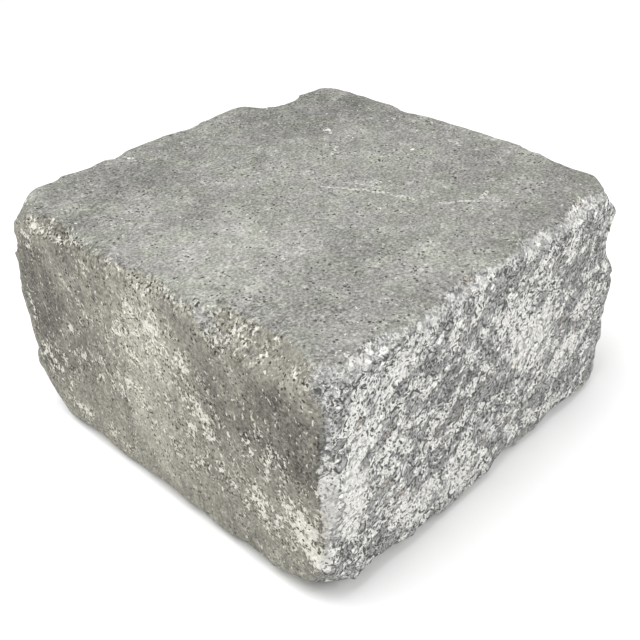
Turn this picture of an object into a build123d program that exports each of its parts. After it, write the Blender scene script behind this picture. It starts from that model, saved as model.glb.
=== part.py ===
"""Tumbled concrete garden wall block, 7 x 7 x 4 in, cast and split as one piece.

The block lies as it is laid in a wall: its bed is down on Z = 0, the split face
that shows in the wall looks along -Y, and the two moulded sides look along +X
and -X. The origin is the middle of the bed. All sizes are in millimetres.
Left and right are as seen from the front.
"""

from build123d import *

import os

# Overall size
width = 178.0  # X, over the two moulded sides
depth = 179.0  # Y, over the high points of the two split faces
height = 101.6  # Z, one course

# Wear from tumbling: how far each corner is rubbed flat, and the radius that
# then rounds every edge
near_left_top_rub = 9.5
far_left_top_rub = 11.0
near_right_top_rub = 13.0
far_right_top_rub = 14.0
near_left_bed_rub = 13.5
far_left_bed_rub = 14.0
near_right_bed_rub = 6.0
far_right_bed_rub = 10.5
edge_wear = 5.5

# Scars of the two split faces, where the concrete broke away a little deeper, each as a
# large ball that bites in. A scar is its place, as shares of the width from the middle and
# of the height from the bed, the ball's radius and its bite.
front_scars = (
    (-0.42, 0.24, 260.0, 2.3),
    (-0.36, 0.80, 300.0, 1.8),
    (-0.14, 0.42, 330.0, 2.0),
    (-0.04, 0.93, 240.0, 1.6),
    (0.12, 0.10, 200.0, 1.0),
    (0.16, 0.62, 280.0, 1.9),
    (0.37, 0.34, 310.0, 1.5),
    (0.42, 0.88, 220.0, 2.1),
)
back_scars = (
    (-0.40, 0.76, 270.0, 2.1),
    (-0.33, 0.20, 310.0, 1.9),
    (-0.12, 0.60, 250.0, 1.7),
    (0.02, 0.12, 230.0, 1.6),
    (0.13, 0.86, 290.0, 2.2),
    (0.24, 0.40, 320.0, 1.8),
    (0.42, 0.70, 240.0, 1.9),
    (0.44, 0.16, 260.0, 2.2),
)

# Chips broken out of the long edges, each as a ball that bites in. A chip is its place
# along the edge, as a share of the edge's length from the middle, the ball's radius
# and how far it reaches in from the sharp edge.
left_top_chips = ((-0.32, 70.0, 7.5), (-0.24, 22.0, 7.5), (-0.03, 40.0, 4.2), (0.3, 45.0, 4.8))
front_top_chips = ((-0.36, 38.0, 5.0), (-0.1, 60.0, 4.6), (0.13, 30.0, 4.4), (0.31, 45.0, 5.2))
back_top_chips = ((-0.27, 40.0, 4.4), (0.03, 14.0, 5.0), (0.315, 17.0, 18.5), (0.42, 22.0, 14.5))
right_top_chips = ((-0.38, 60.0, 7.0), (0.12, 60.0, 3.4))
left_bed_chips = ((-0.42, 40.0, 6.4), (-0.28, 40.0, 4.8), (0.0, 60.0, 4.6), (0.26, 35.0, 4.6))
front_bed_chips = ((-0.37, 60.0, 7.5), (-0.22, 30.0, 5.0), (0.08, 22.0, 5.4), (0.3, 50.0, 4.6))
back_bed_chips = ((-0.2, 40.0, 4.8), (0.18, 50.0, 5.0))
right_bed_chips = ((-0.12, 45.0, 5.0), (0.26, 35.0, 4.6))

# Chips of the upright edges, placed by the height of their middle, as a share
near_left_chips = ((0.18, 35.0, 4.4), (0.62, 60.0, 4.0))
far_left_chips = ((0.85, 9.0, 10.0), (0.71, 30.0, 5.0), (0.45, 60.0, 3.8))
near_right_chips = ((0.74, 20.0, 9.0), (0.41, 30.0, 3.6))
far_right_chips = ((0.74, 50.0, 5.0), (0.35, 38.0, 4.4))


def bite_out(place, outward, radius, bite):
    """Takes a ball out of the block, reaching in by the bite from a place on its outline."""
    away = Vector(*outward).normalized()
    with Locations(Vector(*place) + away * (radius - bite)):
        Sphere(radius, mode=Mode.SUBTRACT)


right, left = width / 2, -width / 2
front, back = -depth / 2, depth / 2

with BuildPart() as wall_block:
    with BuildSketch():
        Rectangle(width, depth)
    extrude(amount=height)

    # Corners rubbed flat, then every edge rounded
    for place, outward, rubbed in (
        ((left, front, height), (-1, -1, 1), near_left_top_rub),
        ((left, back, height), (-1, 1, 1), far_left_top_rub),
        ((right, front, height), (1, -1, 1), near_right_top_rub),
        ((right, back, height), (1, 1, 1), far_right_top_rub),
        ((left, front, 0), (-1, -1, -1), near_left_bed_rub),
        ((left, back, 0), (-1, 1, -1), far_left_bed_rub),
        ((right, front, 0), (1, -1, -1), near_right_bed_rub),
        ((right, back, 0), (1, 1, -1), far_right_bed_rub),
    ):
        inward = Vector(*outward).normalized() * -rubbed
        split(bisect_by=Plane(Vector(*place) + inward, z_dir=outward), keep=Keep.BOTTOM)
    fillet(wall_block.edges(), edge_wear)

    # Scars of the split faces
    for across, up, radius, bite in front_scars:
        bite_out((width * across, front, height * up), (0, -1, 0), radius, bite)
    for across, up, radius, bite in back_scars:
        bite_out((width * across, back, height * up), (0, 1, 0), radius, bite)

    # Chips along the edges
    for share, radius, bite in left_top_chips:
        bite_out((left, depth * share, height), (-1, 0, 1), radius, bite)
    for share, radius, bite in front_top_chips:
        bite_out((width * share, front, height), (0, -1, 1), radius, bite)
    for share, radius, bite in back_top_chips:
        bite_out((width * share, back, height), (0, 1, 1), radius, bite)
    for share, radius, bite in right_top_chips:
        bite_out((right, depth * share, height), (1, 0, 1), radius, bite)
    for share, radius, bite in left_bed_chips:
        bite_out((left, depth * share, 0), (-1, 0, -1), radius, bite)
    for share, radius, bite in front_bed_chips:
        bite_out((width * share, front, 0), (0, -1, -1), radius, bite)
    for share, radius, bite in back_bed_chips:
        bite_out((width * share, back, 0), (0, 1, -1), radius, bite)
    for share, radius, bite in right_bed_chips:
        bite_out((right, depth * share, 0), (1, 0, -1), radius, bite)
    for share, radius, bite in near_left_chips:
        bite_out((left, front, height * share), (-1, -1, 0), radius, bite)
    for share, radius, bite in far_left_chips:
        bite_out((left, back, height * share), (-1, 1, 0), radius, bite)
    for share, radius, bite in near_right_chips:
        bite_out((right, front, height * share), (1, -1, 0), radius, bite)
    for share, radius, bite in far_right_chips:
        bite_out((right, back, height * share), (1, 1, 0), radius, bite)

wall_block.part.label = "wall_block"
os.makedirs("parts", exist_ok=True)
export_step(wall_block.part, "parts/wall_block.step")
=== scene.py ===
"""Tumbled concrete garden wall block: the dense relief mesh, its concrete, floor, light and camera.

Working sizes are in millimetres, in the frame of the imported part, and turn into metres
where they meet Blender. The moulded sides look along -X and +X, the split faces along
-Y and +Y, and the bed is down on Z = 0. Left, front and top are the faces that the
photograph shows: -X, -Y and +Z.
"""

from types import SimpleNamespace

import bpy
import numpy as np
from mathutils import Matrix, Vector


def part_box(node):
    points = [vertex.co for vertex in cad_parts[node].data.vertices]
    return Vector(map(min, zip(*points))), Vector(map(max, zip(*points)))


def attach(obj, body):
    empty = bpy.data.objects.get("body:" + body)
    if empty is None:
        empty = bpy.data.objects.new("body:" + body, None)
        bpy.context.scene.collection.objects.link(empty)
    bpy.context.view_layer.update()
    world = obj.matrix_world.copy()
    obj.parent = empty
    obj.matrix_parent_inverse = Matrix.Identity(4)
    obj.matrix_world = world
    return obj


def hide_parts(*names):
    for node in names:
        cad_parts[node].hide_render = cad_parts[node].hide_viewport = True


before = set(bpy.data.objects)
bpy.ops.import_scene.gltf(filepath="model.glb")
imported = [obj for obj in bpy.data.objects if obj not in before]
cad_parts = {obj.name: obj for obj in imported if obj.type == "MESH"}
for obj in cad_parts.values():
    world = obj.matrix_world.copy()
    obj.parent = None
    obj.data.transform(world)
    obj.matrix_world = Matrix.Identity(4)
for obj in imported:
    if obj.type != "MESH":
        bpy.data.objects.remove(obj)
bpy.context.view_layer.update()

MM = 0.001
low, high = (np.array(corner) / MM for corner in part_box("wall_block"))
WIDTH, DEPTH, HEIGHT = high - low

# Mesh
VOXEL = 1.27  # edge of the small even faces
RIM_SMOOTHING = 4  # rounds of smoothing that soften the rims of chips and scars

# Relief. Each form has the length of its bumps, or the spacing of its stones or pores, and
# its depth. The sinks are how far each kind of surface lies below the CAD surface by itself.
LUMP_LENGTH, LUMP_DEPTH = 17.0, 0.6
STONE_SPACING, STONE_DEPTH = 5.2, 0.6
ROUGH_LENGTH, ROUGH_DEPTH = 2.9, 0.38
PORE_SPACING, PORE_DEPTH = 7.5, 0.9
SWELL_LENGTH, SWELL_DEPTH = 11.0, 0.16
CRUMBLE_LENGTH, CRUMBLE_DEPTH = 11.0, 1.6
SPLIT_SINK, FLAT_SINK, EDGE_SINK = 0.8, 0.22, 0.25
EDGE_START, EDGE_END = 2.0, 8.0  # how far in from an edge its wear starts to fade, and ends

# Grain of the concrete in its material
SAND_SPACING = 0.85
PIT_SPACING = 1.3
SMALL_FLAKES, BIG_FLAKES, SLABS = 1.8, 3.6, 6.5

# Tones as they show on a screen, from 0 to 1
PASTE_TONE, BROKEN_TONE = 0.52, 0.54
FLAKE_TONE, CREAM_TONE, WHITE_TONE = 0.7, 0.86, 0.87
SCRATCH_TONE = 0.8
# Painted shade: the dark tones of the pits and the crevices stand in for the shade inside them
PIT_SHADE_TONE, CREVICE_SHADE_TONE = 0.27, 0.31
DARKEST_TONE = 0.15
SCREEN_POWER = 2.2

# Tints: the top swings between warm and greenish, the moulded sides are olive
WARM_TOP, GREENISH_TOP = (1.0, 0.975, 0.92, 1.0), (0.985, 1.0, 0.885, 1.0)
OLIVE_SIDE, LIMY_SIDE = (1.0, 0.97, 0.825, 1.0), (1.0, 0.98, 0.88, 1.0)
COOL_STONE, LIMY_STONE = (1.0, 1.0, 0.975, 1.0), (1.0, 0.985, 0.945, 1.0)
BROWN_STONE = (1.03, 0.98, 0.87, 1.0)

# Patches of the surface. Each is its middle and half size along the face's two directions,
# and its strength. Lime is white bloom and flecks, shade is the tone of the concrete below
# them, darker where it is negative.
LEFT_LIME = (  # across is Y, up is Z
    (67, 93, 9, 8, 0.6), (-43, 96, 9, 6, 0.35), (-66, 98, 20, 5, 0.12), (-1, 85, 10, 5, 0.5),
    (12, 70, 14, 12, 0.4), (-27, 64, 10, 18, 0.45), (-55, 34, 32, 10, 0.5), (-80, 40, 10, 12, 0.6),
    (-87, 36, 6, 16, 1.0), (-57, 56, 14, 12, 0.3), (68, 34, 13, 10, 0.4), (48, 57, 4, 3, 0.9),
    (48, 45, 6, 4, 0.5), (52, 14, 9, 3, 0.6), (28, 13, 8, 5, 0.35), (38, 68, 5, 6, 0.4),
    (78, 55, 1.6, 10, 0.9), (-26, 46, 12, 10, 0.45), (-75, 24, 12, 3, 0.3), (20, 45, 22, 8, 0.3),
    (-8, 66, 12, 26, 0.12),
)
LEFT_SHADE = (
    (68, 62, 16, 30, -1.5), (2, 66, 17, 34, 0.85), (0, 32, 16, 22, 0.45), (-70, 76, 26, 21, -0.95),
    (-35, 74, 9, 22, -0.6), (-45, 15, 44, 9, -0.05), (42, 60, 12, 34, -0.6), (34, 92, 20, 10, -0.4),
    (-58, 55, 26, 12, -0.3), (-22, 48, 10, 14, 0.35),
)
FRONT_LIME = (  # across is X, up is Z
    (-79, 48, 12, 22, 0.85), (-70, 88, 9, 7, 0.4), (-51, 87, 7, 6, 0.6), (-70, 68, 8, 13, 0.55),
    (-42, 22, 22, 8, 0.5), (-18, 15, 20, 7, 0.5), (-56, 50, 12, 14, 0.25), (18, 55, 10, 10, 1.2),
    (34, 56, 11, 14, 0.8), (12, 73, 13, 9, 0.35), (53, 37, 10, 6, 0.6), (72, 52, 12, 9, 0.4),
    (70, 32, 12, 8, 0.25), (-30, 83, 6, 4, 0.6), (-12, 88, 6, 4, 0.5), (30, 87, 8, 4, 0.4),
    (46, 84, 3, 3, 0.7), (75, 90, 12, 10, 0.2), (40, 12, 8, 4, 0.3), (-55, 32, 16, 5, 0.25),
    (12, 32, 34, 14, 0.12), (64, 50, 20, 40, -0.12), (14, 92, 16, 10, -0.15), (-50, 62, 14, 14, 0.2),
)
FRONT_SHADE = (
    (-24, 56, 20, 26, -0.65), (-76, 25, 9, 9, -0.4), (-50, 96, 10, 6, -0.5), (-82, 74, 4, 8, -0.5),
    (5, 42, 8, 8, -0.5), (50, 52, 9, 7, -0.6), (60, 16, 32, 12, -0.3), (12, 22, 12, 14, -0.35),
    (-38, 12, 5, 6, -0.5), (33, 68, 10, 8, -0.5), (52, 70, 14, 7, -0.3), (12, 86, 12, 6, -0.3),
)
TOP_LIME = (  # across is X, up is Y
    (-87, 50, 5, 40, 0.3), (-88, -10, 4, 30, 0.3), (-82, -46, 9, 7, 0.12), (-60, -51, 10, 6, 0.1),
    (-70, -86, 16, 5, 0.4), (-10, -88, 40, 4, 0.2), (45, -86, 30, 5, 0.22), (0, -80, 90, 5, 0.06),
    (44, 35, 2, 5, 0.8), (65, -64, 6, 5, 0.3), (-37, -10, 3, 6, 0.4), (52, -8, 4, 6, 0.35),
    (-83, 78, 8, 8, 0.35), (-30, 77, 4, 4, 0.5), (70, 18, 6, 8, 0.25),
)
TOP_SHADE = (
    (-66, -14, 24, 26, 0.5), (-70, 30, 16, 24, -0.1), (50, 60, 40, 26, -0.55), (68, -30, 16, 22, -0.35),
    (40, -74, 40, 10, -0.4), (-50, 60, 34, 20, -0.5), (24, 4, 26, 24, 0.1), (-40, -50, 40, 12, -0.4),
    (0, 72, 70, 12, -0.3), (70, 20, 12, 30, -0.3), (0, 42, 60, 10, -0.25), (82, 30, 12, 34, -0.35),
    (-79, -34, 1.6, 1.6, -1.4), (-88, -34, 2.0, 1.8, -1.4), (-50, -22, 10, 8, -0.2),
)
TOP_CRUST = (  # rough, worn stretches beside the edges
    (-78, -46, 14, 16, 0.8), (-66, -62, 16, 10, 0.5), (-56, -85, 26, 6, 0.6), (30, -87, 50, 5, 0.5),
    (-86, 40, 4, 40, 0.3), (-84, -80, 9, 9, 0.8), (84, -60, 6, 30, 0.4),
)

# Lime that each seen face has everywhere, below its patches
LEFT_LIME_EVERYWHERE, FRONT_LIME_EVERYWHERE, TOP_LIME_EVERYWHERE = 0.07, 0.42, 0.0

# Light scratches: start and end on the face, and half width
TOP_SCRATCHES = (  # across is X, up is Y
    ((2, -2), (12, -20), 1.1), ((12, -20), (17, -37), 1.2), ((10, -5), (17, -20), 0.9),
    ((20, -45), (32, -55), 1.2), ((32, -55), (40, -53), 1.2), ((45, 37), (42, 31), 1.2),
    ((70, -12), (68, -20), 1.1), ((26, 15), (33, 20), 1.0),
)
LEFT_SCRATCHES = (  # across is Y, up is Z
    ((50, 81), (43, 76), 1.4), ((35, 95), (28, 92), 1.3), ((36, 90), (30, 89), 0.9),
    ((-56, 74), (-57, 68), 0.9), ((-52, 74), (-51, 69), 0.7), ((-48, 78), (-56, 78), 0.5),
    ((-2, 67), (4, 63), 0.7), ((0, 79), (-16, 79), 0.5),
)

# Camera, fitted to the block's edges
CAMERA_PLACE = (-231.8, -226.9, 261.1)
CAMERA_RIGHT = (0.68737937, -0.72593954, -0.02283379)
CAMERA_UP = (0.4246452, 0.37618644, 0.82350484)
CAMERA_LENS, CAMERA_SENSOR = 51.44, 36.0

# Floor and light, in metres and watts
FLOOR_SIZE, FLOOR_TONE, FLOOR_ROUGHNESS = 8.0, 0.9, 0.9
SKY_STRENGTH = 0.75
SOFTBOX_SIZE = 0.7
SOFTBOXES = (("key", (-0.35, 0.1, 1.0), 9), ("fill", (0.6, -0.8, 0.6), 4))


# Noise for the relief

def lattice(seed, index):
    """A repeatable random number from 0 to 1 for each whole-numbered lattice point."""
    x, y, z = (index[..., axis].astype(np.uint32) for axis in range(3))
    mixed = x * np.uint32(374761393) + y * np.uint32(668265263) + z * np.uint32(2147483647)
    mixed += np.uint32(seed * 1274126177 & 0xFFFFFFFF)
    mixed = (mixed ^ (mixed >> np.uint32(13))) * np.uint32(1103515245)
    mixed = (mixed ^ (mixed >> np.uint32(16))) * np.uint32(668265263)
    return ((mixed ^ (mixed >> np.uint32(15))) & np.uint32(0xFFFFFF)) / float(0xFFFFFF)


def noise(points, length, seed):
    """Smooth noise from -1 to 1, with bumps about as long as the given length."""
    scaled = points / length + seed * 17.31
    cell = np.floor(scaled).astype(np.int64)
    inside = scaled - cell
    eased = inside * inside * inside * (inside * (inside * 6 - 15) + 10)
    total = np.zeros(len(points))
    for corner in np.ndindex(2, 2, 2):
        step = np.array(corner)
        weight = np.prod(np.where(step == 1, eased, 1 - eased), axis=1)
        total += weight * lattice(seed, cell + step)
    return total * 2 - 1


def layered(points, length, seed, layers=3, gain=0.5):
    """Noise with finer and weaker layers laid over it."""
    total, strength = np.zeros(len(points)), 1.0
    for layer in range(layers):
        total += strength * noise(points, length / 2 ** layer, seed + layer)
        strength *= gain
    return total


def stones(points, spacing, seed):
    """Nearest and second nearest distance to scattered stones, and the nearest one's number."""
    scaled = points / spacing
    cell = np.floor(scaled).astype(np.int64)
    first = np.full(len(points), np.inf)
    second = np.full(len(points), np.inf)
    number = np.zeros(len(points))
    for corner in np.ndindex(3, 3, 3):
        near = cell + np.array(corner) - 1
        place = near + np.stack([lattice(seed + axis, near) for axis in range(3)], axis=1)
        away = np.linalg.norm(place - scaled, axis=1)
        closer = away < first
        second = np.where(closer, first, np.minimum(second, away))
        number = np.where(closer, lattice(seed + 3, near), number)
        first = np.where(closer, away, first)
    return first, second, number


def ramp(values, start, end):
    """Eases from 0 at start to 1 at end."""
    share = np.clip((values - start) / (end - start), 0, 1)
    return share * share * (3 - 2 * share)


# The block's dense mesh

def dense_block():
    """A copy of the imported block, rebuilt from small even faces with softened rims."""
    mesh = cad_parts["wall_block"].data.copy()
    piece = bpy.data.objects.new("block_relief", mesh)
    bpy.context.scene.collection.objects.link(piece)
    remesh = piece.modifiers.new("even", "REMESH")
    remesh.mode = "VOXEL"
    remesh.voxel_size = VOXEL * MM
    soften = piece.modifiers.new("soften", "SMOOTH")
    soften.factor = 0.5
    soften.iterations = RIM_SMOOTHING
    evaluated = piece.evaluated_get(bpy.context.evaluated_depsgraph_get())
    dense = bpy.data.meshes.new_from_object(evaluated)
    piece.modifiers.clear()
    piece.data = dense
    bpy.data.meshes.remove(mesh)
    return piece


def points_of(mesh):
    """The mesh's vertices in millimetres, and its normals."""
    count = len(mesh.vertices)
    places, normals = np.empty(count * 3), np.empty(count * 3)
    mesh.vertices.foreach_get("co", places)
    mesh.vertex_normals.foreach_get("vector", normals)
    return places.reshape(-1, 3) / MM, normals.reshape(-1, 3)


def edge_nearness(points):
    """1 along the block's edges, falling to 0 well inside its faces."""
    inset = np.stack([
        WIDTH / 2 - np.abs(points[:, 0]),
        DEPTH / 2 - np.abs(points[:, 1]),
        np.minimum(points[:, 2], HEIGHT - points[:, 2]),
    ], axis=1)
    second = np.sort(inset, axis=1)[:, 1]
    wavering = layered(points, 14.0, seed=40) * 2.5
    return 1 - ramp(second + wavering, EDGE_START, EDGE_END)


def relief(points, normals):
    """How far each vertex sinks below the CAD surface, and the masks for the material."""
    edge = edge_nearness(points)
    split = ramp(np.abs(normals[:, 1]) + 0.14 * layered(points, 9.0, seed=3), 0.3, 0.62)
    side = ramp(np.abs(normals[:, 0]), 0.4, 0.75) * (1 - split)

    # Split faces: broken lumps, and stones that stand out between paste
    lumps = layered(points, LUMP_LENGTH, seed=11, gain=0.55)
    pushed = points + 0.8 * noise(points, 3.0, seed=90)[:, None]
    near, next_near, number = stones(pushed, STONE_SPACING, seed=21)
    bead = ramp(next_near - near, 0.0, 0.45) * (0.35 + 0.65 * number)
    split_depth = SPLIT_SINK - LUMP_DEPTH * lumps - STONE_DEPTH * bead
    split_depth += ROUGH_DEPTH * noise(points, ROUGH_LENGTH, seed=33)

    # Moulded and pressed faces: almost flat, with pores
    pore_near, _, pore_number = stones(points, PORE_SPACING, seed=51)
    pore = (1 - ramp(pore_near, 0.07, 0.19)) * ramp(pore_number, 0.45, 0.6)
    swells = layered(points, SWELL_LENGTH, seed=61, layers=4, gain=0.6)
    flat_depth = FLAT_SINK - SWELL_DEPTH * swells + PORE_DEPTH * pore

    # Worn edges: crumbled away unevenly
    crumble = ramp(layered(points, CRUMBLE_LENGTH, seed=71, layers=2), -0.15, 0.9)
    edge_depth = EDGE_SINK + CRUMBLE_DEPTH * crumble + 0.15 * noise(points, 3.1, seed=75)

    depth = flat_depth * (1 - split) + split_depth * split
    depth = depth * (1 - 0.7 * edge) + edge * edge_depth
    return np.maximum(depth, 0.0), edge, split, side


def patched(across, up, ragged, patches):
    """The sum of a face's patches, each with a ragged outline."""
    total = np.zeros(len(across))
    for middle, level, half_across, half_up, strength in patches:
        away = np.hypot((across - middle) / half_across, (up - level) / half_up)
        total += strength * (1 - ramp(away + ragged, 0.35, 1.4))
    return total


def surface_story(points, normals, edge, split):
    """Lime, shade and crust all over the block: the seen faces by their patches."""
    x, y, z = points.T
    ragged = 0.38 * layered(points, 16.0, seed=81, layers=4, gain=0.6)
    left, front, top = ramp(np.stack((-normals[:, 0], -normals[:, 1], normals[:, 2])), 0.45, 0.7)
    unseen = 1 - np.clip(left + front + top, 0, 1)

    lime, shade = np.zeros(len(points)), np.zeros(len(points))
    for facing, across, up, everywhere, lime_patches, shade_patches in (
        (left, y, z, LEFT_LIME_EVERYWHERE, LEFT_LIME, LEFT_SHADE),
        (front, x, z, FRONT_LIME_EVERYWHERE, FRONT_LIME, FRONT_SHADE),
        (top, x, y, TOP_LIME_EVERYWHERE, TOP_LIME, TOP_SHADE),
    ):
        lime += facing * (everywhere + patched(across, up, ragged, lime_patches))
        shade += facing * patched(across, up, ragged, shade_patches)
    lime += unseen * (0.07 + 0.26 * layered(points, 42.0, seed=101, gain=0.6) + 0.24 * split)
    shade += unseen * 0.8 * layered(points, 48.0, seed=111, gain=0.6)

    crust = edge ** 2 + top * patched(x, y, ragged, TOP_CRUST)
    return np.clip(lime, 0, 1.2), np.clip(shade, -1.6, 1.2), np.clip(crust, 0, 1)


# Shader nodes

class NodeMaker:
    """Lays shader nodes with few words. Numbers, colours and sockets can all be inputs."""

    def __init__(self, material):
        material.use_nodes = True
        self.tree = material.node_tree
        self.shader = self.tree.nodes["Principled BSDF"]

    def feed(self, socket, value):
        """Links a socket to an input, or sets the input to a value."""
        if isinstance(value, bpy.types.NodeSocket):
            self.tree.links.new(value, socket)
        else:
            socket.default_value = value

    def lay(self, kind, inputs, output=0, **settings):
        """Adds one node, feeds its inputs and returns one of its outputs."""
        node = self.tree.nodes.new(kind)
        for name, value in settings.items():
            setattr(node, name, value)
        for name, value in inputs.items():
            self.feed(node.inputs[name], value)
        return node.outputs[output]

    def attribute(self, name):
        """A number kept for each vertex."""
        return self.lay("ShaderNodeAttribute", {}, "Fac", attribute_name=name)

    def math(self, operation, first, second=0.0, clamp=False):
        """One operation on two numbers."""
        return self.lay("ShaderNodeMath", {0: first, 1: second}, operation=operation, use_clamp=clamp)

    def vector(self, operation, first, second, output=0):
        """One operation on two vectors."""
        return self.lay("ShaderNodeVectorMath", {0: first, 1: second}, output, operation=operation)

    def scaled(self, place, factor):
        """A vector made longer by one factor."""
        return self.lay("ShaderNodeVectorMath", {0: place, "Scale": factor}, operation="SCALE")

    def add(self, *values):
        """All the values together."""
        total = values[0]
        for value in values[1:]:
            total = self.math("ADD", total, value)
        return total

    def times(self, *values):
        """All the values multiplied."""
        total = values[0]
        for value in values[1:]:
            total = self.math("MULTIPLY", total, value)
        return total

    def ease(self, value, start, end, low=0.0, high=1.0):
        """Eases from low to high as the value goes from start to end."""
        inputs = {0: value, 1: start, 2: end, 3: low, 4: high}
        return self.lay("ShaderNodeMapRange", inputs, interpolation_type="SMOOTHSTEP")

    def mix(self, share, first, second, blend="MIX"):
        """The first colour, with a share of the second."""
        inputs = {0: share, 6: first, 7: second}
        return self.lay("ShaderNodeMix", inputs, 2, data_type="RGBA", blend_type=blend)

    def mix_numbers(self, share, first, second):
        """The first number, with a share of the second."""
        return self.lay("ShaderNodeMix", {0: share, 2: first, 3: second}, 0)

    def noise(self, place, length, detail=2.0, roughness=0.5, distortion=0.0):
        """Noise from 0 to 1, with bumps about as long as the given length."""
        inputs = {"Vector": place, "Scale": 1 / length, "Detail": detail,
                  "Roughness": roughness, "Distortion": distortion}
        return self.lay("ShaderNodeTexNoise", inputs, 0)

    def swing(self, value, amount):
        """A noise value, made to swing evenly below and above zero."""
        inputs = {0: value, 1: amount, 2: -amount / 2}
        return self.lay("ShaderNodeMath", inputs, operation="MULTIPLY_ADD")

    def warped(self, place, length, amount):
        """A place pushed about by noise, so that cells get irregular outlines."""
        inputs = {"Vector": place, "Scale": 1 / length, "Detail": 1.0}
        push = self.lay("ShaderNodeTexNoise", inputs, 1)
        push = self.vector("SUBTRACT", push, (0.5, 0.5, 0.5))
        return self.vector("ADD", place, self.scaled(push, amount))

    def cells(self, place, spacing, output="Distance", feature="F1"):
        """One of the outputs of irregular cells, spaced about as wide as the given spacing."""
        inputs = {"Vector": place, "Scale": 1 / spacing, "Randomness": 1.0}
        return self.lay("ShaderNodeTexVoronoi", inputs, output, feature=feature)

    def cell_number(self, place, spacing, channel=0):
        """A random number for each cell. Each channel, 0 to 2, gives another one."""
        colour = self.cells(place, spacing, "Color")
        return self.lay("ShaderNodeSeparateColor", {0: colour}, channel)

    def cell_rim(self, place, spacing):
        """The distance to the edge of the cell, as a part of the spacing."""
        return self.cells(place, spacing, "Distance", "DISTANCE_TO_EDGE")

    def flakes(self, number, rim, density, gap):
        """1 on a share of the cells as large as the density, parted by gaps."""
        chosen = self.ease(self.math("SUBTRACT", density, number), -0.02, 0.03)
        return self.times(chosen, self.ease(self.math("SUBTRACT", rim, gap), 0.0, 0.06))

    def scratch(self, place, start, end, half_width):
        """1 along a straight scratch from start to end, fading towards its half width."""
        start, end = Vector(start), Vector(end)
        run = end - start
        along = self.vector("DOT_PRODUCT", self.vector("SUBTRACT", place, start), run, "Value")
        along = self.math("MULTIPLY", along, 1 / run.length_squared, clamp=True)
        nearest = self.vector("ADD", self.scaled(run, along), start)
        away = self.vector("DISTANCE", place, nearest, "Value")
        return self.ease(away, half_width, half_width / 3)


# The concrete

def shared_fields(make):
    """Masks, noises and cells that several parts of the concrete share."""
    field = SimpleNamespace()
    for name in ("crust", "split", "side", "lime", "shade"):
        setattr(field, name, make.attribute(name))

    # Places in millimetres: plain, pushed about, and leaning to the upper right of the front
    in_metres = make.lay("ShaderNodeTexCoord", {}, "Object")
    field.place = make.vector("MULTIPLY", in_metres, (1 / MM, 1 / MM, 1 / MM))
    field.frayed = make.warped(make.warped(field.place, 2.6, 1.6), 1.0, 0.6)
    lean = {"Vector": field.frayed, "Rotation": (0, -0.6, 0), "Scale": (1.15, 1.0, 0.9)}
    slanted = make.lay("ShaderNodeMapping", lean, vector_type="TEXTURE")

    # Noise from wide to fine
    field.cloud = make.noise(field.place, 26.0, 4.0, 0.6)
    field.terrain = make.noise(slanted, 7.5, 3.0, 0.68)
    field.mottle = make.noise(field.place, 7.0, 5.0, 0.62)
    field.cluster = make.noise(field.place, 6.0, 4.0, 0.6)
    field.coarse = make.noise(field.place, 3.0, 3.0, 0.6)
    field.crumbs = make.noise(field.frayed, 1.6, 1.0, 0.7)
    field.grain = make.noise(field.place, 1.1, 2.0, 0.7)

    # Light and dark grains of sand, from -1 to 1, and the cells of the flakes
    sand = make.cell_number(field.frayed, SAND_SPACING)
    field.sand = make.add(make.ease(sand, 0.7, 0.95), make.ease(sand, 0.3, 0.05, 0.0, -1.0))
    for name, spacing in (("slab", SLABS), ("big", BIG_FLAKES), ("small", SMALL_FLAKES)):
        setattr(field, name + "_number", make.cell_number(slanted, spacing))
        setattr(field, name + "_rim", make.cell_rim(slanted, spacing))
    return field


def placed_scratches():
    """The start and end in space and the half width of each scratch."""
    top, left = HEIGHT - FLAT_SINK, -WIDTH / 2
    for start, end, half_width in TOP_SCRATCHES:
        yield (*start, top), (*end, top), half_width
    for start, end, half_width in LEFT_SCRATCHES:
        yield (left, *start), (left, *end), half_width


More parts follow.
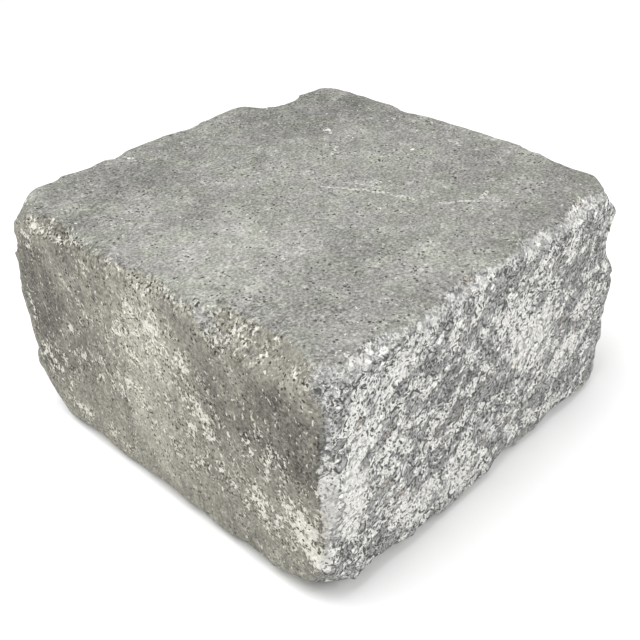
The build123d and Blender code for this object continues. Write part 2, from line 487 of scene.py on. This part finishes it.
def pressed_concrete(make, field):
    """Tone and lime of the pressed and moulded faces: smooth paste, flecks, drag marks, crust."""
    drawn_out = make.vector("MULTIPLY", field.place, (1.0, 1.0, 0.12))
    streak = make.noise(drawn_out, 2.2, 4.0, 0.65, 0.3)
    blotch = make.ease(make.noise(field.frayed, 5.0, 3.0, 0.65), 0.56, 0.62)
    glints = make.times(make.ease(field.crumbs, 0.62, 0.66), make.ease(field.mottle, 0.5, 0.6))
    crumbled = make.add(-0.02, make.swing(field.grain, 0.15), make.swing(field.coarse, 0.3))

    # Lime comes in clusters, and on the sides the paste round it is grittier
    share = make.times(field.lime, make.ease(field.cluster, 0.43, 0.6, 0.15, 1.7))
    busy = make.times(field.side, make.ease(share, 0.03, 0.24))
    grain_strength = make.add(0.55, make.times(field.side, -0.1), make.times(busy, 0.35))
    sand_strength = make.add(
        0.045,
        make.times(field.side, -0.01),
        make.times(busy, 0.17),
        make.times(field.crust, 0.04),
    )
    tone = make.add(
        PASTE_TONE,
        make.times(field.side, 0.02),
        make.times(field.shade, 0.1),
        make.times(blotch, 0.06),
        make.times(glints, 0.08),
        make.swing(field.cloud, 0.2),
        make.swing(field.mottle, 0.2),
        make.times(make.swing(field.grain, 1.0), grain_strength),
        make.times(field.sand, sand_strength),
        make.times(field.side, make.swing(streak, 0.24)),
        make.times(field.crust, crumbled),
    )

    # Lime flecks thicken into ragged patches where there is much of it
    upright = make.vector("MULTIPLY", field.frayed, (1.0, 1.0, 0.6))
    flecks = make.noise(upright, 1.5, 1.0, 0.8)
    flecks = make.add(flecks, make.times(share, 0.28), make.times(field.side, 0.03))
    lime = make.ease(flecks, 0.725, 0.745)
    cream = make.add(CREAM_TONE, make.swing(field.grain, 0.4), make.times(field.crust, -0.12))
    tone = make.mix_numbers(make.times(lime, 0.85), tone, cream)

    # Scratches, ragged and bent, plainer on the sides than on the top
    bent = make.warped(make.warped(field.place, 6.0, 3.0), 1.6, 1.2)
    scratches = 0.0
    for start, end, half_width in placed_scratches():
        scratches = make.math("MAXIMUM", scratches, make.scratch(bent, start, end, half_width))
    strength = make.ease(field.side, 0.0, 1.0, 0.65, 0.95)
    scratches = make.times(scratches, make.ease(field.grain, 0.35, 0.55), strength)
    return make.mix_numbers(scratches, tone, SCRATCH_TONE), lime


def split_concrete(make, field):
    """Tone, lime and crevices of the split faces: broken stones of many greys, caked with lime. The
    crevices get painted shadow.
    """
    big, small = field.big_number, field.small_number
    share = make.add(field.lime, make.swing(field.cluster, 1.3), make.swing(field.mottle, 1.2))
    tone = make.add(
        BROKEN_TONE,
        make.times(field.shade, 0.09),
        make.times(small, 0.16),
        make.times(field.crust, 0.04),
        make.swing(field.grain, 0.4),
        make.swing(field.coarse, 0.3),
        make.times(field.sand, make.ease(big, 0.66, 0.62, 0.04, 0.15)),
    )

    # Pale flakes: whole cells, more of them where there is more lime
    big_flakes = make.flakes(big, field.big_rim, make.ease(share, 0.15, 1.3), 0.09)
    small_flakes = make.flakes(small, field.small_rim, make.times(share, 0.45), 0.07)
    flakes = make.math("MAXIMUM", big_flakes, small_flakes)
    pale = make.add(FLAKE_TONE, make.times(small, 0.3), make.swing(field.grain, 0.2))
    tone = make.mix_numbers(flakes, tone, pale)

    # White lime: ragged islands that join up where there is much of it, and a few slabs
    islands = make.add(field.terrain, make.times(share, 0.19), make.swing(field.crumbs, 0.3))
    islands = make.times(make.ease(islands, 0.605, 0.62), make.ease(big, 0.9, 0.88))
    slab_density = make.ease(share, 0.2, 1.2, 0.05, 0.4)
    slabs = make.flakes(field.slab_number, field.slab_rim, slab_density, 0.1)
    # Along the worn edges the white is darker: partly worn lime, and partly painted shade that tones
    # down the highlight on the rim
    white = make.add(
        WHITE_TONE,
        make.swing(field.grain, 0.3),
        make.times(small, 0.05),
        make.times(field.sand, 0.03),
        make.times(field.crust, -0.1),
    )
    tone = make.mix_numbers(make.math("MAXIMUM", islands, make.times(slabs, 0.85)), tone, white)

    # Painted shadow: dark lines part of the way round the flakes, and painted shade in the
    # ragged holes between them, both fainter on the worn edges
    small_lines = make.ease(field.small_rim, 0.18, 0.08, 0.0, 0.4)
    lines = make.math("MAXIMUM", make.ease(field.big_rim, 0.13, 0.07), small_lines)
    partly = make.ease(field.crumbs, 0.5, 0.56)
    lines = make.times(partly, lines, make.ease(share, 1.3, 0.7, 0.4, 1.0))
    holes = make.ease(make.add(field.crumbs, make.times(field.lime, 0.035)), 0.39, 0.37)
    worn = make.ease(field.crust, 0.2, 0.9, 1.0, 0.5)
    dark = make.times(make.math("MAXIMUM", lines, holes), worn)
    # Painted shade: the lines and holes are darkened as if shaded
    tone = make.mix_numbers(make.times(dark, 0.9), tone, CREVICE_SHADE_TONE)
    return tone, make.math("MAXIMUM", flakes, islands), dark


def shaded_pits_of_the_paste(make, field):
    """1 on small round pits, in clusters, with more of them beside the lime of the sides. Shade is
    painted into them.
    """
    crowd = make.add(make.swing(field.mottle, 1.6), make.times(field.side, field.lime, 0.12))
    number = make.cell_number(field.frayed, PIT_SPACING, channel=1)
    reach = make.ease(make.add(number, crowd), 0.86, 0.96, 0.0, 0.4)
    return make.ease(make.math("SUBTRACT", reach, make.cells(field.frayed, PIT_SPACING)), -0.02, 0.05)


def concrete_material():
    """Cement paste with sand, flecks, pits and lime, and broken stones on the split faces; shade is
    painted into the pits and crevices.

    The tone is worked out as it shows on a screen, 0 to 1, and turned into light at the end.
    """
    material = bpy.data.materials.new("concrete")
    make = NodeMaker(material)
    field = shared_fields(make)
    paste, paste_lime = pressed_concrete(make, field)
    broken, broken_lime, crevices = split_concrete(make, field)
    pits = shaded_pits_of_the_paste(make, field)
    # Painted shade: the pits of the paste are darkened as if shaded
    paste = make.mix_numbers(make.times(pits, 0.95), paste, PIT_SHADE_TONE)
    tone = make.mix_numbers(field.split, paste, broken)
    lime = make.mix_numbers(field.split, paste_lime, broken_lime)
    # Where shade is painted into pits and crevices; the bump below sinks these places too
    dark = make.mix_numbers(field.split, pits, crevices)

    # Tone to light, tinted
    light = make.math("POWER", make.math("MAXIMUM", tone, DARKEST_TONE), SCREEN_POWER)
    hue = make.ease(make.noise(field.place, 15.0, 3.0), 0.4, 0.6)
    top_tint = make.mix(hue, WARM_TOP, GREENISH_TOP)
    side_tint = make.mix(paste_lime, OLIVE_SIDE, LIMY_SIDE)
    paste_tint = make.mix(field.side, top_tint, side_tint)
    broken_tint = make.mix(broken_lime, COOL_STONE, LIMY_STONE)
    brown = make.times(field.split, make.ease(field.big_number, 0.985, 0.99))
    tint = make.mix(brown, make.mix(field.split, paste_tint, broken_tint), BROWN_STONE)
    grey = make.lay("ShaderNodeCombineColor", {0: light, 1: light, 2: light})
    make.feed(make.shader.inputs["Base Color"], make.mix(1.0, grey, tint, "MULTIPLY"))
    make.shader.inputs["Roughness"].default_value = 0.92
    make.shader.inputs["Specular IOR Level"].default_value = 0.25

    # Fine relief, in millimetres
    height = make.add(
        make.times(field.grain, 0.5),
        make.times(lime, 0.15),
        make.times(dark, -0.4),
        make.times(field.split, make.ease(field.small_rim, 0.0, 0.2), 0.15),
        make.times(field.split, make.ease(field.big_rim, 0.0, 0.22), 0.25),
    )
    bump = make.lay("ShaderNodeBump", {"Height": height, "Distance": MM, "Strength": 0.9})
    make.feed(make.shader.inputs["Normal"], bump)
    return material


# The block

def dressed_block():
    """The block with its relief, and with the numbers for its material kept on its vertices."""
    block = dense_block()
    points, normals = points_of(block.data)
    sink, edge, split, side = relief(points, normals)
    lime, shade, crust = surface_story(points, normals, edge, split)
    sunk = points - normals * sink[:, None]
    block.data.vertices.foreach_set("co", (sunk * MM).ravel())
    block.data.update()
    block.data.polygons.foreach_set("use_smooth", [True] * len(block.data.polygons))
    masks = {"split": split, "side": side, "lime": lime, "shade": shade, "crust": crust}
    for name, values in masks.items():
        layer = block.data.attributes.new(name, "FLOAT", "POINT")
        layer.data.foreach_set("value", values.astype(np.float32))
    block.data.materials.clear()
    block.data.materials.append(concrete_material())
    return block


block = dressed_block()
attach(block, "root")
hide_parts("wall_block")


# Floor, light and camera

def pale_floor():
    """A plain pale floor that the block lies on."""
    bpy.ops.mesh.primitive_plane_add(size=FLOOR_SIZE)
    floor = bpy.context.object
    floor.name = "floor"
    paint = bpy.data.materials.new("floor_paint")
    paint.use_nodes = True
    shader = paint.node_tree.nodes["Principled BSDF"]
    shader.inputs["Base Color"].default_value = (FLOOR_TONE, FLOOR_TONE, FLOOR_TONE, 1)
    shader.inputs["Roughness"].default_value = FLOOR_ROUGHNESS
    floor.data.materials.append(paint)
    return floor


def white_sky():
    """An even white light from all round."""
    world = bpy.data.worlds.new("studio")
    bpy.context.scene.world = world
    world.use_nodes = True
    background = world.node_tree.nodes["Background"]
    background.inputs["Color"].default_value = (1, 1, 1, 1)
    background.inputs["Strength"].default_value = SKY_STRENGTH


def softbox(name, place, power):
    """A square soft light that looks at the middle of the block."""
    light = bpy.data.lights.new(name, "AREA")
    light.size = SOFTBOX_SIZE
    light.energy = power
    lamp = bpy.data.objects.new(name, light)
    lamp.location = place
    aim = Vector((0, 0, HEIGHT * MM / 2)) - lamp.location
    lamp.rotation_euler = aim.to_track_quat("-Z", "Y").to_euler()
    bpy.context.scene.collection.objects.link(lamp)


def photo_camera():
    """The camera at the photograph's place and angle."""
    data = bpy.data.cameras.new("camera")
    data.lens = CAMERA_LENS
    data.sensor_width = CAMERA_SENSOR
    camera = bpy.data.objects.new("camera", data)
    back = Vector(CAMERA_RIGHT).cross(Vector(CAMERA_UP))
    turn = Matrix((CAMERA_RIGHT, CAMERA_UP, back)).transposed()
    camera.matrix_world = Matrix.Translation(Vector(CAMERA_PLACE) * MM) @ turn.to_4x4()
    bpy.context.scene.collection.objects.link(camera)
    return camera


floor = pale_floor()
white_sky()
for name, place, power in SOFTBOXES:
    softbox(name, place, power)
bpy.context.scene.camera = photo_camera()
bpy.context.scene.view_settings.view_transform = "Standard"
